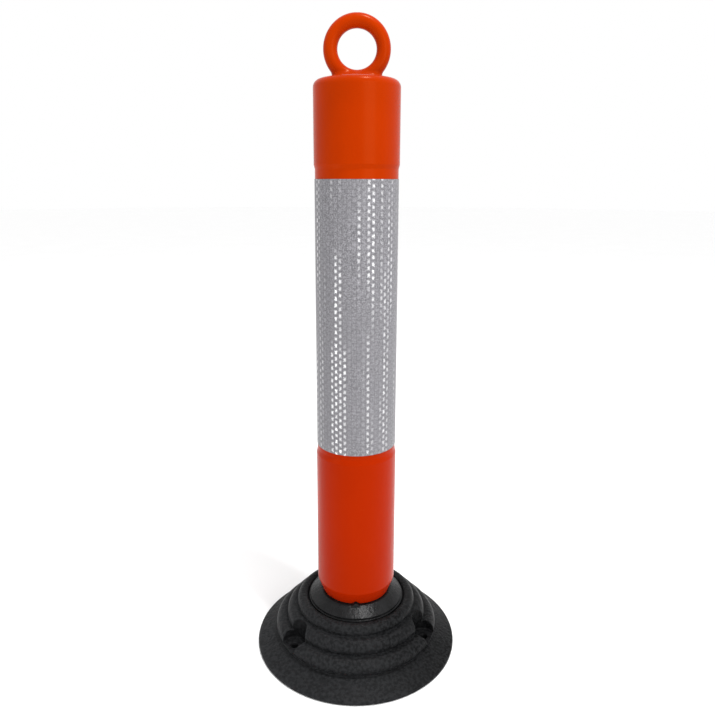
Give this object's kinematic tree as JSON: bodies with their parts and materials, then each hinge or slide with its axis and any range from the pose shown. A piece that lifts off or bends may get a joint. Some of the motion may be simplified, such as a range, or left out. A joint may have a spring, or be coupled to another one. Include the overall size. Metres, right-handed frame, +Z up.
{
  "type": "delineator post",
  "caption": "Flexible hollow traffic post with a lifting ring and a wide reflective sleeve, plugged onto a tiered rubber base with recessed anchor pockets.",
  "frame": {"origin": "centre of the base's underside, on the road surface", "axes": "+Z up along the post; -Y is the front, where the index nub is; the ring's hole runs along Y"},
  "size_m": [0.25, 0.25, 0.75],
  "materials": {
    "base_rubber": "matt moulded rubber, faintly mottled",
    "collar_plastic": "smooth glossy black",
    "grip_rubber": "smooth",
    "plate_steel": "zinc plated",
    "fastener_steel": "zinc plated",
    "insert_brass": "turned",
    "post_orange": "satin moulded flexible plastic",
    "flex_orange": "satin moulded flexible plastic",
    "foot_orange": "satin moulded flexible plastic",
    "sheeting": "prismatic retroreflective sheeting"
  },
  "bodies": {
    "base": {"rubber_base": "base_rubber", "lock_collar": "collar_plastic", "grip_rings": "grip_rubber", "clamp_plate": "plate_steel", "clamp_screws": "fastener_steel", "screw_washers": "fastener_steel", "threaded_inserts": "insert_brass"},
    "foot": {"post_foot": "foot_orange"},
    "middle": {"post_flex_lower": "flex_orange", "post_flex_upper": "flex_orange"},
    "post": {"post_body": "post_orange", "reflective_sleeve": "sheeting"}
  },
  "joints": [
    {"name": "post_lift_off", "type": "slide", "parent": "base", "child": "foot", "axis": [0, 0, 1], "range_m": [0, 0.1]},
    {"name": "post_bend_forward_back", "type": "hinge", "parent": "foot", "child": "middle", "pos_m": [0, 0, 0.133], "axis": [1, 0, 0], "range_deg": [-80, 80], "stiffness_Nm_per_rad": 60, "deforming": ["post_flex_lower"]},
    {"name": "post_bend_sideways", "type": "hinge", "parent": "middle", "child": "post", "pos_m": [0, 0, 0.203], "axis": [0, 1, 0], "range_deg": [-80, 80], "stiffness_Nm_per_rad": 60, "deforming": ["post_flex_upper"]}
  ]
}
